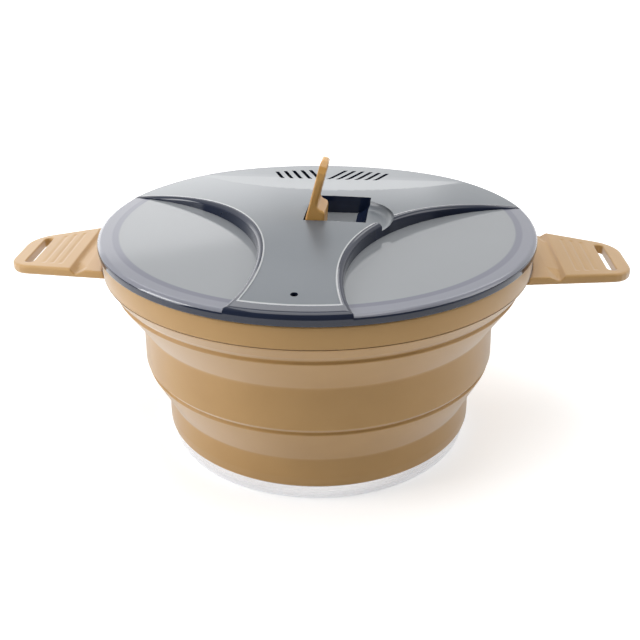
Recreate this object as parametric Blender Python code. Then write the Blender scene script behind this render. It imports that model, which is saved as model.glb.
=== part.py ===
# Collapsible silicone cooking pot with an aluminium base and a strainer lid.
# Metres, +Z up. Origin at the centre of the face that the pot stands on, grips along X.
import math

import bmesh
import bpy
from mathutils import Matrix, Vector

# Facets and clearances
FACETS = 64
WINDOW_FACETS = 96
DOME_RINGS = 7
EDGE_BENDS = 4
LIP_STEPS = 48
LIP_BENDS = 3
PIN_FACETS = 16
GAP = 0.0003
OVERRUN = 0.006
SMOOTH_ANGLE = 32

# Base pan
PAN_H = 0.0070
PAN_INSET = 0.0009
PAN_TAPER = 0.0008
PAN_CHAMFER = 0.0011
PAN_FLOOR = 0.0028
PAN_FILLET = 0.0040
PAN_RING_W = 0.0150
PAN_DISH = 0.0006
FLANGE_T = 0.0012
FLANGE_H = 0.0060
FLANGE_COVER = 0.0025
HOOK_W = 0.0007
HOOK_H = 0.0012

# Silicone bands and folds, from the bottom up
LOWER_R = 0.0693
LOWER_DRAFT = 0.0007
LOWER_H = 0.0124
LOWER_KNEE_SHARE = 0.33
LOWER_FOLD_H = 0.0173
LOWER_FLARE = 0.0086
FOLD_T = 0.0018
HINGE_IN = 0.0010
HINGE_SHARE = 0.33
BAND_LIP = 0.0016
BAND_LIP_H = 0.0024
BAND_ROUND = 0.0008
BAND_T = 0.0021
MIDDLE_DRAFT = 0.0005
MIDDLE_H = 0.0203
UPPER_FOLD_H = 0.0160
UPPER_FLARE = 0.0105
RIM_LIP = 0.0022
RIM_LIP_H = 0.0031
RIM_WALL_H = 0.0076
RIM_SWELL = 0.0040
RIM_LEG_T = 0.0021
RIM_ROUND = 0.0008

# Rim sleeve and the stiff frame inside it
SLEEVE_H = 0.0090
SLEEVE_T = 0.0026
SLEEVE_TOP_T = 0.0013
FRAME_T = 0.0013
FRAME_DROP = 0.0023
TONGUE_HALF_W = 0.0140
TONGUE_LENGTH = 0.0262
TONGUE_T = 0.0009
TONGUE_ROUND = 0.0047

# Grips
GRIP_LENGTH = 0.0412
GRIP_ROOT_HALF_W = 0.0280
GRIP_TIP_HALF_W = 0.0164
GRIP_T = 0.0040
GRIP_RISE = 0.0016
GRIP_SLOPE_SHARE = 0.075
GRIP_SKIN = 0.0007
GRIP_CORNER = 0.0085
GRIP_EDGE = 0.0009
SLOT_W = 0.0039
SLOT_HALF_LENGTH = 0.0140
SLOT_INSET = 0.0068
SLOT_ROUND_SHARE = 0.42
GROOVE_W = 0.0018
GROOVE_DEPTH = 0.0005
GROOVE_PITCH = 0.0040
GROOVE_INSET = 0.0062
GROOVE_HALF_LENGTH = 0.0156
GROOVE_GROWTH = 0.0011
GROOVE_COUNT = 3
VALLEY_OUT = 0.0112
VALLEY_DEPTH = 0.0013
VALLEY_END_DEPTH = 0.0023
VALLEY_MIDDLE = 0.0150
VALLEY_END = 0.0225
VALLEY_ROUND = 0.0007
NECK_W = 0.0042
NECK_DROP = 0.0005

# Lid
LID_OVERHANG = 0.0012
LID_LIP_T = 0.0023
LID_PANE_T = 0.0018
LID_CROWN = 0.0085
LID_EDGE_RISE = 0.0034
LID_EDGE_RUN = 0.0042
LID_EDGE_FALL = 0.0031
LID_ROUND = 0.0007
LID_PANE_RISE = 0.0018
LID_TURN_DEG = -3.2
SKIRT_DEPTH = 0.0067
SKIRT_T = 0.0016
SKIRT_PLAY = 0.0006
BAND_SHELL_T = 0.0018
WINDOW_R = 0.0850
WINDOW_Y = -0.0590
WAIST_HALF_W = 0.0170
WINDOW_ROUND = 0.0020
LIP_FIRST = math.radians(-32)
LIP_LAST = math.radians(88)
LIP_LEFT = 0.0003
BACK_CREASE_Y = 0.0240
BACK_KNEE_Y = 0.0768
BACK_LEVEL = -0.0001
BACK_EDGE_LEVEL = -0.0010
VENT_R = 0.0014
VENT_Y = -0.0796
STRAIN_RIGHT = 6
STRAIN_LEFT = 5
STRAIN_PITCH = 0.0046
STRAIN_W = 0.0019
STRAIN_AXIS_X = -0.0038
STRAIN_FIRST = 0.0010
STRAIN_FRONT_Y = 0.0620
STRAIN_BACK_R = 0.0826
STRAIN_SLANT_SHARE = 0.36

# Pocket, tab and pin, in the lid's frame
POCKET_LEFT = 0.0040
POCKET_RIGHT = 0.0222
POCKET_FRONT = 0.0160
POCKET_BACK = 0.0182
POCKET_WALL = 0.0016
POCKET_ROUND = 0.0080
SCOOP_X = 0.0099
SCOOP_Y = -0.0069
SCOOP_R = 0.0232
SCOOP_LAP = 0.0024
SCOOP_FLAT_SHARE = 0.82
SCOOP_FLOOR = 0.0044
EAR_T = 0.0018
EAR_LENGTH = 0.0078
EAR_H = 0.0068
PIN_R = 0.0010
TAB_W = 0.0160
TAB_T = 0.0032
TAB_REACH = 0.0285
TAB_CORNER = 0.0078
TAB_EDGE = 0.0005
TAB_SET_BACK = 0.0008
TAB_LEAN_DEG = 15.0
HUB_R = 0.0040
HUB_REACH = 0.0087
HUB_TOP = 0.0026
HUB_ROUND = 0.0018
HINGE_X = 0.0006
HINGE_Z = 0.0042

# Levels and radii that follow from the sizes above
lower_z = PAN_H + GAP
lower_top = lower_z + LOWER_H
lower_fold_z = lower_top + GAP
lower_fold_top = lower_fold_z + LOWER_FOLD_H
middle_z = lower_fold_top + GAP
middle_top = middle_z + MIDDLE_H
upper_fold_z = middle_top + GAP
upper_fold_top = upper_fold_z + UPPER_FOLD_H
rim_z = upper_fold_top + GAP
seam_z = rim_z + RIM_WALL_H
sleeve_z = seam_z + GAP
sleeve_top = sleeve_z + SLEEVE_H
lid_z = sleeve_top + GAP + LID_LIP_T

lower_top_r = LOWER_R - LOWER_DRAFT
lower_cone_r = lower_top_r + LOWER_FLARE
middle_r = lower_cone_r - HINGE_IN + BAND_LIP
middle_top_r = middle_r - MIDDLE_DRAFT
upper_cone_r = middle_top_r + UPPER_FLARE
rim_r = upper_cone_r + RIM_SWELL
frame_r = rim_r - SLEEVE_T - GAP
frame_inner_r = frame_r - FRAME_T
leg_r = frame_inner_r - GAP
mouth_r = leg_r - RIM_LEG_T
flange_r = LOWER_R - FLANGE_COVER
flange_inner_r = flange_r - FLANGE_T
flange_top = PAN_H + FLANGE_H
lid_r = rim_r + LID_OVERHANG
skirt_r = mouth_r - SKIRT_PLAY
window_x = WINDOW_R + WAIST_HALF_W
grip_top = seam_z + GRIP_RISE
tongue_z = grip_top - GRIP_T + GRIP_SKIN + GAP
frame_z = seam_z - FRAME_DROP


# Materials
def finish(name, colour, roughness, metallic=0.0, transmission=0.0):
    material = bpy.data.materials.new(name)
    material.use_nodes = True
    shader = material.node_tree.nodes["Principled BSDF"]
    shader.inputs["Base Color"].default_value = (*colour, 1.0)
    shader.inputs["Roughness"].default_value = roughness
    shader.inputs["Metallic"].default_value = metallic
    shader.inputs["Transmission Weight"].default_value = transmission
    material.diffuse_color = (*colour, 1.0)
    return material


# Mesh helpers
def add_object(name, bm, material=None, parent=None):
    bmesh.ops.remove_doubles(bm, verts=bm.verts, dist=GAP / 100)
    bmesh.ops.recalc_face_normals(bm, faces=bm.faces)
    mesh = bpy.data.meshes.new(name)
    bm.to_mesh(mesh)
    bm.free()
    mesh.shade_smooth()
    mesh.set_sharp_from_angle(angle=math.radians(SMOOTH_ANGLE))
    thing = bpy.data.objects.new(name, mesh)
    bpy.context.scene.collection.objects.link(thing)
    thing.parent = parent
    if material:
        mesh.materials.append(material)
    else:
        thing.hide_render = True
        thing.display_type = 'WIRE'
    return thing


# A profile of (radius, height) points spun round Z. A profile that starts and
# ends on the axis stays open there, and any other is closed into a ring.
def turned(profile, facets=FACETS):
    bm = bmesh.new()
    verts = [bm.verts.new((r, 0, z)) for r, z in profile]
    edges = [bm.edges.new(pair) for pair in zip(verts, verts[1:])]
    if profile[0][0] > 0:
        edges.append(bm.edges.new((verts[-1], verts[0])))
    bmesh.ops.spin(bm, geom=verts + edges, cent=(0, 0, 0), axis=(0, 0, 1),
                   angle=math.tau, steps=facets, use_merge=True)
    return bm


# Another shape's mesh added to this one.
def add_to(bm, other):
    mesh = bpy.data.meshes.new("part_of_shape")
    other.to_mesh(mesh)
    other.free()
    bm.from_mesh(mesh)
    bpy.data.meshes.remove(mesh)


# A flat outline in a plane, extruded by a vector.
def prism(outline, extrusion):
    bm = bmesh.new()
    face = bm.faces.new([bm.verts.new(point) for point in outline])
    grown = bmesh.ops.extrude_face_region(bm, geom=[face])["geom"]
    moved = [item for item in grown if isinstance(item, bmesh.types.BMVert)]
    bmesh.ops.translate(bm, verts=moved, vec=extrusion)
    return bm


def block(low, high):
    outline = [(low[0], low[1], low[2]), (high[0], low[1], low[2]),
               (high[0], high[1], low[2]), (low[0], high[1], low[2])]
    return prism(outline, (0, 0, high[2] - low[2]))


def rod(radius, facets, start, length):
    bm = bmesh.new()
    bmesh.ops.create_cone(bm, cap_ends=True, segments=facets, radius1=radius, radius2=radius,
                          depth=length)
    turn = Matrix.Rotation(math.pi / 2, 4, 'X')
    place = Matrix.Translation(Vector(start) + Vector((0, length / 2, 0)))
    bmesh.ops.transform(bm, matrix=place @ turn, verts=bm.verts)
    return bm


def upright(radius, facets, centre, low, high):
    bm = bmesh.new()
    bmesh.ops.create_cone(bm, cap_ends=True, segments=facets, radius1=radius, radius2=radius,
                          depth=high - low)
    bmesh.ops.translate(bm, verts=bm.verts, vec=(centre[0], centre[1], (low + high) / 2))
    return bm


def round_edges(bm, chosen, width, segments):
    bmesh.ops.bevel(bm, geom=[edge for edge in bm.edges if chosen(edge)], offset=width,
                    segments=segments, profile=0.5, affect='EDGES')


def lean(bm, slope, from_x):
    for vert in bm.verts:
        vert.co.z += slope * (vert.co.x - from_x)


def combine(target, tool, operation='DIFFERENCE'):
    change = target.modifiers.new(operation.lower(), 'BOOLEAN')
    change.operation = operation
    change.solver = 'EXACT'
    change.object = tool


# Base pan: a pressed dish with a ring to stand on, and a hooked flange for the silicone
def make_base_pan(material):
    shoulder_r = LOWER_R - PAN_INSET
    foot_r = shoulder_r - PAN_TAPER
    dish_r = foot_r - PAN_RING_W
    profile = [(0, PAN_DISH), (dish_r - PAN_DISH, PAN_DISH), (dish_r, 0),
               (foot_r - PAN_CHAMFER, 0), (foot_r, PAN_CHAMFER),
               (shoulder_r, PAN_H - PAN_CHAMFER / 2), (shoulder_r - PAN_CHAMFER / 2, PAN_H),
               (flange_r, PAN_H), (flange_r, flange_top - HOOK_H),
               (flange_r + HOOK_W, flange_top - HOOK_H / 2), (flange_r, flange_top),
               (flange_inner_r, flange_top), (flange_inner_r, PAN_FLOOR + PAN_FILLET)]
    for step in range(1, 4):
        turn = math.pi / 2 * step / 4
        profile.append((flange_inner_r - PAN_FILLET * (1 - math.cos(turn)),
                        PAN_FLOOR + PAN_FILLET * (1 - math.sin(turn))))
    profile += [(flange_inner_r - PAN_FILLET, PAN_FLOOR), (0, PAN_FLOOR)]
    return add_object("base_pan", turned(profile), material)


# Lower band: grips the pan's flange in a groove that follows the hook
def make_lower_wall(material):
    profile = [(LOWER_R - BAND_ROUND, lower_z), (LOWER_R, lower_z + BAND_ROUND),
               (LOWER_R, lower_z + LOWER_H * LOWER_KNEE_SHARE), (lower_top_r, lower_top),
               (lower_top_r - FOLD_T, lower_top),
               (flange_inner_r, flange_top + GAP + BAND_ROUND),
               (flange_inner_r, flange_top + GAP), (flange_r + GAP, flange_top + GAP),
               (flange_r + HOOK_W + GAP, flange_top - HOOK_H / 2),
               (flange_r + GAP, flange_top - HOOK_H - GAP), (flange_r + GAP, lower_z)]
    return add_object("lower_wall", turned(profile), material)


def make_fold(name, material, low_r, low_z, high_r, high_z):
    profile = [(low_r, low_z), (high_r, high_z), (high_r - FOLD_T, high_z),
               (low_r - FOLD_T, low_z)]
    return add_object(name, turned(profile), material)


# Middle band: a thin hinge groove under its rounded lower lip
def make_middle_wall(material):
    hinge_r = lower_cone_r - HINGE_IN
    inner_r = middle_top_r - BAND_T
    lip_z = middle_z + BAND_LIP_H
    profile = [(hinge_r, middle_z), (hinge_r, middle_z + BAND_LIP_H * HINGE_SHARE),
               (middle_r - BAND_ROUND / 2, lip_z - BAND_ROUND),
               (middle_r, lip_z), (middle_top_r, middle_top), (inner_r, middle_top),
               (inner_r, middle_z)]
    return add_object("middle_wall", turned(profile), material)


# Rim band up to the seam, with a channel that the frame stands in
def rim_outline(outset):
    hinge_r = upper_cone_r - HINGE_IN
    lip_r = hinge_r + RIM_LIP
    lip_z = rim_z + RIM_LIP_H
    return [(hinge_r + outset, rim_z), (hinge_r + outset, rim_z + RIM_LIP_H * HINGE_SHARE),
            (lip_r + outset, lip_z), (rim_r - RIM_ROUND / 2 + outset, seam_z - RIM_ROUND),
            (rim_r + outset, seam_z)]


def make_upper_wall(material):
    channel_r = frame_r + GAP
    profile = rim_outline(0) + [
        (channel_r, seam_z), (channel_r, frame_z - GAP), (leg_r, frame_z - GAP),
        (leg_r, sleeve_top - RIM_ROUND / 2), (leg_r - RIM_ROUND / 2, sleeve_top),
        (mouth_r + RIM_ROUND, sleeve_top), (mouth_r, sleeve_top - RIM_ROUND),
        (mouth_r, rim_z)]
    wall = add_object("upper_wall", turned(profile), material)
    for side in (-1, 1):
        reach = sorted((side * mouth_r, side * (rim_r + OVERRUN)))
        half = TONGUE_HALF_W + GAP * 2
        low = (reach[0], -half, tongue_z - GAP)
        window = add_object("tongue_window", block(low, (reach[1], half, seam_z + GAP * 2)))
        core = turned([(0, 0), (frame_r, 0), (frame_r, sleeve_top), (0, sleeve_top)])
        combine(window, add_object("window_core", core))
        combine(wall, window)
    return wall


def make_rim_sleeve(material):
    inner_r = frame_r + GAP
    top_r = leg_r + GAP
    under = sleeve_top - SLEEVE_TOP_T
    profile = [(rim_r, sleeve_z), (rim_r, sleeve_top - RIM_ROUND),
               (rim_r - RIM_ROUND, sleeve_top), (top_r, sleeve_top), (top_r, under),
               (inner_r, under), (inner_r, sleeve_z)]
    return add_object("rim_sleeve", turned(profile), material)


# Rim frame: a stiff ring with a flat tongue into each grip
def make_rim_frame(material):
    top = sleeve_top - SLEEVE_TOP_T - GAP
    ring = [(frame_r, frame_z), (frame_r, top), (frame_inner_r, top), (frame_inner_r, frame_z)]
    frame = add_object("rim_frame", turned(ring), material)
    middle_r_of_ring = (frame_r + frame_inner_r) / 2
    core = [(0, 0), (middle_r_of_ring, 0), (middle_r_of_ring, lid_z), (0, lid_z)]
    for side in (-1, 1):
        low = (mouth_r, -TONGUE_HALF_W, tongue_z)
        high = (rim_r + TONGUE_LENGTH, TONGUE_HALF_W, tongue_z + TONGUE_T)
        bm = block(low, high)
        tip_x = high[0] - GAP
        round_edges(bm, lambda edge: all(v.co.x > tip_x for v in edge.verts)
                    and abs(edge.verts[0].co.z - edge.verts[1].co.z) > TONGUE_T / 2,
                    TONGUE_ROUND, 3)
        lean(bm, -GRIP_SLOPE_SHARE, rim_r)
        tongue = add_object("tongue", bm)
        tongue.rotation_euler.z = 0 if side > 0 else math.pi
        combine(tongue, add_object("tongue_core", turned(core)))
        combine(frame, tongue, 'UNION')
    return frame


# Grip outline: a tapered plate with rounded tip corners and soft edges
def grip_plate():
    root_x = mouth_r
    tip_x = rim_r + GRIP_LENGTH
    growth = (GRIP_ROOT_HALF_W - GRIP_TIP_HALF_W) / GRIP_LENGTH
    root_half = GRIP_ROOT_HALF_W + growth * (rim_r - root_x)
    low = grip_top - GRIP_T
    outline = [(root_x, -root_half, low), (tip_x, -GRIP_TIP_HALF_W, low),
               (tip_x, GRIP_TIP_HALF_W, low), (root_x, root_half, low)]
    bm = prism(outline, (0, 0, GRIP_T))

    def at_tip_corner(edge):
        first, second = edge.verts
        return first.co.x > tip_x - GAP and second.co.x > tip_x - GAP \
            and abs(first.co.z - second.co.z) > GRIP_T / 2

    def on_rim(edge):
        first, second = edge.verts
        level = abs(first.co.z - second.co.z) < GRIP_T / 2
        return level and max(first.co.x, second.co.x) > root_x + GAP

    round_edges(bm, at_tip_corner, GRIP_CORNER, 5)
    round_edges(bm, on_rim, GRIP_EDGE, 2)
    lean(bm, -GRIP_SLOPE_SHARE, rim_r)
    return bm


# Height of the grip's top at a distance from the pot's axis
def grip_level(x):
    return grip_top - GRIP_SLOPE_SHARE * (x - rim_r)


def grip_slot():
    middle_x = rim_r + GRIP_LENGTH - SLOT_INSET - SLOT_W / 2
    level = grip_level(middle_x)
    bm = block((middle_x - SLOT_W / 2, -SLOT_HALF_LENGTH, level - GRIP_T - OVERRUN),
               (middle_x + SLOT_W / 2, SLOT_HALF_LENGTH, level + OVERRUN))
    round_edges(bm, lambda edge: abs(edge.verts[0].co.z - edge.verts[1].co.z) > GRIP_T,
                SLOT_W * SLOT_ROUND_SHARE, 3)
    return bm


# Grooves across the plate: each drops on the pot's side and ramps back up towards the
# tip, and they grow longer towards the pot as the plate widens
def grip_grooves():
    bm = bmesh.new()
    slot_x = rim_r + GRIP_LENGTH - SLOT_INSET - SLOT_W
    slope = GROOVE_DEPTH / GROOVE_W
    for number in range(GROOVE_COUNT):
        x = slot_x - GROOVE_INSET - GROOVE_PITCH * number
        half = GROOVE_HALF_LENGTH + GROOVE_GROWTH * number
        outline = [(x, -half, -GROOVE_DEPTH), (x + GROOVE_W, -half, 0),
                   (x + GROOVE_W * 2, -half, GROOVE_W * slope), (x, -half, GROOVE_W * slope)]
        cut = prism(outline, (0, half * 2, 0))
        bmesh.ops.translate(cut, verts=cut.verts, vec=(0, 0, grip_top))
        add_to(bm, cut)
    lean(bm, -GRIP_SLOPE_SHARE, rim_r)
    return bm


# Valley between the neck and the plate: a loft of sections along Y. It is shallow over
# the frame's tongue and deeper at both ends.
def grip_valley():
    wall_x = rim_r + VALLEY_OUT
    neck_x = rim_r + NECK_W
    places = (-GRIP_ROOT_HALF_W - OVERRUN, -VALLEY_END, -VALLEY_MIDDLE,
              VALLEY_MIDDLE, VALLEY_END, GRIP_ROOT_HALF_W + OVERRUN)
    bm = bmesh.new()
    rings = []
    for y in places:
        depth = VALLEY_DEPTH if abs(y) <= VALLEY_MIDDLE else VALLEY_END_DEPTH
        low_x = wall_x - depth
        section = [(wall_x + OVERRUN, OVERRUN), (wall_x, 0),
                   (low_x + VALLEY_ROUND / 2, VALLEY_ROUND / 2 - depth), (low_x, -depth),
                   (low_x - VALLEY_ROUND, -depth), (neck_x, -NECK_DROP),
                   (mouth_r, -NECK_DROP), (mouth_r, OVERRUN)]
        verts = [bm.verts.new((x, y, grip_top + z)) for x, z in section]
        rings.append([bm.edges.new(pair) for pair in zip(verts, verts[1:] + verts[:1])])
    for ring, following in zip(rings, rings[1:]):
        bmesh.ops.bridge_loops(bm, edges=ring + following)
    bmesh.ops.contextual_create(bm, geom=rings[0])
    bmesh.ops.contextual_create(bm, geom=rings[-1])
    lean(bm, -GRIP_SLOPE_SHARE, rim_r)
    return bm


def make_grip(name, side, material):
    holder = bpy.data.objects.new(name + "_place", None)
    bpy.context.scene.collection.objects.link(holder)
    holder.rotation_euler.z = 0 if side > 0 else math.pi
    grip = add_object(name, grip_plate(), material, holder)
    outline = rim_outline(GAP)
    top = (rim_r + GAP, sleeve_top + OVERRUN)
    envelope = [(0, rim_z)] + outline + [top, (0, sleeve_top + OVERRUN)]
    pocket = block((mouth_r, -TONGUE_HALF_W - GAP, tongue_z - GAP),
                   (rim_r + TONGUE_LENGTH + GAP, TONGUE_HALF_W + GAP, tongue_z + TONGUE_T + GAP))
    lean(pocket, -GRIP_SLOPE_SHARE, rim_r)
    tools = (turned(envelope), pocket, grip_slot(), grip_grooves(), grip_valley())
    for number, tool in enumerate(tools):
        combine(grip, add_object(name + "_cut_" + str(number), tool, parent=holder))
    return grip


# Lid: a crowned disc. The crown falls with the square of the radius.
def crown(radius, sunk=0.0):
    return LID_CROWN - sunk - (LID_CROWN - LID_EDGE_RISE) * (radius / lid_r) ** 2


def crown_arc(last_r, sunk=0.0):
    return [(last_r * step / DOME_RINGS, crown(last_r * step / DOME_RINGS, sunk))
            for step in range(DOME_RINGS + 1)]


def lid_body():
    arc = crown_arc(lid_r - LID_EDGE_RUN)
    for bend in range(1, EDGE_BENDS + 1):
        turn = math.pi / 2 * bend / EDGE_BENDS
        arc.append((lid_r - LID_EDGE_RUN * (1 - math.sin(turn)),
                    crown(lid_r - LID_EDGE_RUN) - LID_EDGE_FALL * (1 - math.cos(turn))))
    skirt_inner = skirt_r - SKIRT_T
    skirt_z = -LID_LIP_T - SKIRT_DEPTH
    profile = arc + [
        (lid_r, -LID_LIP_T + LID_ROUND),
        (lid_r - LID_ROUND, -LID_LIP_T), (skirt_r, -LID_LIP_T),
        (skirt_r, skirt_z + LID_ROUND), (skirt_r - LID_ROUND, skirt_z),
        (skirt_inner, skirt_z), (skirt_inner, -LID_PANE_T), (0, -LID_PANE_T)]
    return turned(profile)


# Two round cutters whose overlap with the lid leaves the windows
def window_cutters(extra, low, high):
    bm = bmesh.new()
    for side in (-1, 1):
        add_to(bm, upright(WINDOW_R + extra, WINDOW_FACETS, (side * window_x, WINDOW_Y), low, high))
    return bm


# Room under both panes, inside the skirt, so that a raised pane stays as thin as the band
def pane_hollow():
    low = -LID_LIP_T - SKIRT_DEPTH - OVERRUN
    return window_cutters(0, low, LID_PANE_RISE - LID_PANE_T)


# Level of the lid's top at a place: the crown, or the back slope where that is lower
def band_top(x, y):
    crease_z = crown(BACK_CREASE_Y)
    slope = (crease_z - BACK_LEVEL) / (BACK_KNEE_Y - BACK_CREASE_Y)
    return min(crown(math.hypot(x, y)), crease_z - slope * (y - BACK_CREASE_Y))


# What is taken off the upper edge of both window walls to round it
def lip_cutter():
    bm = bmesh.new()
    for side in (-1, 1):
        rings = []
        for step in range(LIP_STEPS + 1):
            turn = LIP_FIRST + (LIP_LAST - LIP_FIRST) * step / LIP_STEPS
            out = WINDOW_R + WINDOW_ROUND
            top = band_top(window_x - out * math.cos(turn), WINDOW_Y + out * math.sin(turn))
            fall = min(WINDOW_ROUND, max(top - LID_PANE_RISE - LIP_LEFT, LIP_LEFT))
            section = []
            for bend in range(LIP_BENDS + 1):
                share = math.pi / 2 * bend / LIP_BENDS
                section.append((WINDOW_ROUND * (1 - math.cos(share)), -fall * (1 - math.sin(share))))
            section += [(WINDOW_ROUND, OVERRUN), (-GAP, OVERRUN), (-GAP, -fall)]
            ring = []
            for away, drop in section:
                reach = WINDOW_R + away
                place = (side * (window_x - reach * math.cos(turn)),
                         WINDOW_Y + reach * math.sin(turn), top + drop)
                ring.append(bm.verts.new(place))
            rings.append(ring)
        for ring, after in zip(rings, rings[1:]):
            for number, vert in enumerate(ring):
                bm.faces.new((ring[number - 1], vert, after[number], after[number - 1]))
        bm.faces.new(rings[0])
        bm.faces.new(rings[-1])
    bmesh.ops.recalc_face_normals(bm, faces=bm.faces)
    return bm


# Everything above the back slope, which falls steeply from its crease to a knee and then
# gently to the back edge
def back_slab(sunk):
    crease_z = crown(BACK_CREASE_Y)
    slope = (crease_z - BACK_LEVEL) / (BACK_KNEE_Y - BACK_CREASE_Y)
    front_y = -OVERRUN
    back_y = lid_r + OVERRUN
    last_slope = (BACK_LEVEL - BACK_EDGE_LEVEL) / (lid_r - BACK_KNEE_Y)
    points = [(front_y, crease_z + slope * (BACK_CREASE_Y - front_y)),
              (BACK_KNEE_Y, BACK_LEVEL), (back_y, BACK_EDGE_LEVEL - last_slope * OVERRUN)]
    outline = [(-lid_r, y, z - sunk) for y, z in points]
    outline += [(-lid_r, y, LID_CROWN * 3) for y in (back_y, front_y)]
    return prism(outline, (lid_r * 2, 0, 0))


def pocket_floor():
    return HINGE_Z - HUB_R - GAP


def pocket_cutter():
    floor = pocket_floor()
    bm = block((-POCKET_LEFT, -POCKET_FRONT, floor), (POCKET_RIGHT, POCKET_BACK, LID_CROWN * 2))
    far = POCKET_RIGHT - GAP
    round_edges(bm, lambda edge: all(v.co.x > far and v.co.z < floor + GAP for v in edge.verts),
                POCKET_ROUND, 5)
    return bm


# What bounds the scoop: it starts a little inside the pocket and keeps to the pocket's front
def scoop_room(extra):
    return block((POCKET_RIGHT - SCOOP_LAP, -POCKET_FRONT - extra, -OVERRUN * 2),
                 (lid_r, lid_r, LID_CROWN * 3))


# Dished recess for the tab's free end and a fingertip, open to the pocket and the window
def scoop_cutter():
    flat = SCOOP_R * SCOOP_FLAT_SHARE
    rise = SCOOP_R - flat
    profile = [(0, SCOOP_FLOOR), (flat, SCOOP_FLOOR)]
    for step in range(1, 4):
        turn = math.pi / 2 * step / 3
        profile.append((flat + rise * math.sin(turn), SCOOP_FLOOR + rise * (1 - math.cos(turn))))
    profile += [(SCOOP_R, LID_CROWN * 2), (0, LID_CROWN * 2)]
    bm = turned(profile, FACETS)
    bmesh.ops.translate(bm, verts=bm.verts, vec=(SCOOP_X, SCOOP_Y, 0))
    return bm


# Slots that lean outwards on both sides of an axis and end on one circle at the back
def strainer_cutter():
    bm = bmesh.new()
    low = -OVERRUN
    for side, count in ((-1, STRAIN_LEFT), (1, STRAIN_RIGHT)):
        for number in range(count):
            front = STRAIN_FIRST + STRAIN_PITCH * number
            reach = front + STRAIN_SLANT_SHARE * (STRAIN_BACK_R - STRAIN_FRONT_Y)
            back_y = math.sqrt(STRAIN_BACK_R ** 2 - (STRAIN_AXIS_X + side * reach) ** 2)
            back = front + STRAIN_SLANT_SHARE * (back_y - STRAIN_FRONT_Y)
            corners = ((front, STRAIN_FRONT_Y), (front + STRAIN_W, STRAIN_FRONT_Y),
                       (back + STRAIN_W, back_y), (back, back_y))
            outline = [(STRAIN_AXIS_X + side * out, y, low) for out, y in corners]
            add_to(bm, prism(outline, (0, 0, LID_CROWN + OVERRUN * 2)))
    return bm


def make_lid(place, material):
    lid = add_object("lid_shell", lid_body(), material, place)
    floor = pocket_floor()
    hollow_r = skirt_r - SKIRT_T * 2
    arc = crown_arc(hollow_r, BAND_SHELL_T)
    bottom = -LID_PANE_T - OVERRUN
    hollow = add_object("band_hollow", turned(arc + [(hollow_r, bottom), (0, bottom)]),
                        parent=place)
    keep_pocket = block((-POCKET_LEFT - POCKET_WALL, -POCKET_FRONT - POCKET_WALL, bottom * 2),
                        (POCKET_RIGHT + POCKET_WALL, POCKET_BACK + POCKET_WALL, LID_CROWN * 2))
    scoop_under = SCOOP_FLOOR - POCKET_WALL
    keepers = (window_cutters(BAND_SHELL_T, bottom * 2, LID_CROWN * 2), back_slab(BAND_SHELL_T),
               keep_pocket)
    for number, tool in enumerate(keepers):
        combine(hollow, add_object("keep_" + str(number), tool, parent=place))
    keep_scoop = upright(SCOOP_R + POCKET_WALL, FACETS, (SCOOP_X, SCOOP_Y), scoop_under,
                         LID_CROWN * 2)
    keep_scoop = add_object("keep_scoop", keep_scoop, parent=place)
    combine(keep_scoop, add_object("keep_scoop_room", scoop_room(POCKET_WALL), parent=place),
            'INTERSECT')
    combine(hollow, keep_scoop)

    pocket = add_object("pocket_cut", pocket_cutter(), parent=place)
    ear_y = TAB_W + GAP * 2 - POCKET_FRONT
    ear = block((-POCKET_LEFT - OVERRUN, ear_y, floor - OVERRUN),
                (EAR_LENGTH - POCKET_LEFT, ear_y + EAR_T, EAR_H))
    combine(pocket, add_object("ear_keep", ear, parent=place))
    vent = upright(VENT_R, PIN_FACETS, (0, VENT_Y), -OVERRUN, LID_CROWN)
    hole_y = -POCKET_FRONT - POCKET_WALL - OVERRUN / 4
    hole_end = ear_y + EAR_T + OVERRUN / 4
    pin_hole = rod(PIN_R + GAP, PIN_FACETS, (HINGE_X, hole_y, HINGE_Z), hole_end - hole_y)
    scoop = add_object("scoop_cut", scoop_cutter(), parent=place)
    combine(scoop, add_object("scoop_room", scoop_room(0), parent=place), 'INTERSECT')
    under = add_object("pane_hollow", pane_hollow(), parent=place)
    drum = upright(skirt_r - SKIRT_T, FACETS, (0, 0), bottom * 3 - SKIRT_DEPTH, LID_CROWN)
    combine(under, add_object("pane_room", drum, parent=place), 'INTERSECT')
    cuts = (window_cutters(0, LID_PANE_RISE, LID_CROWN * 2), back_slab(0), strainer_cutter(),
            vent, pin_hole, lip_cutter())
    combine(lid, hollow)
    combine(lid, under)
    combine(lid, pocket)
    combine(lid, scoop)
    for number, tool in enumerate(cuts):
        combine(lid, add_object("lid_cut_" + str(number), tool, parent=place))
    return lid


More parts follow.
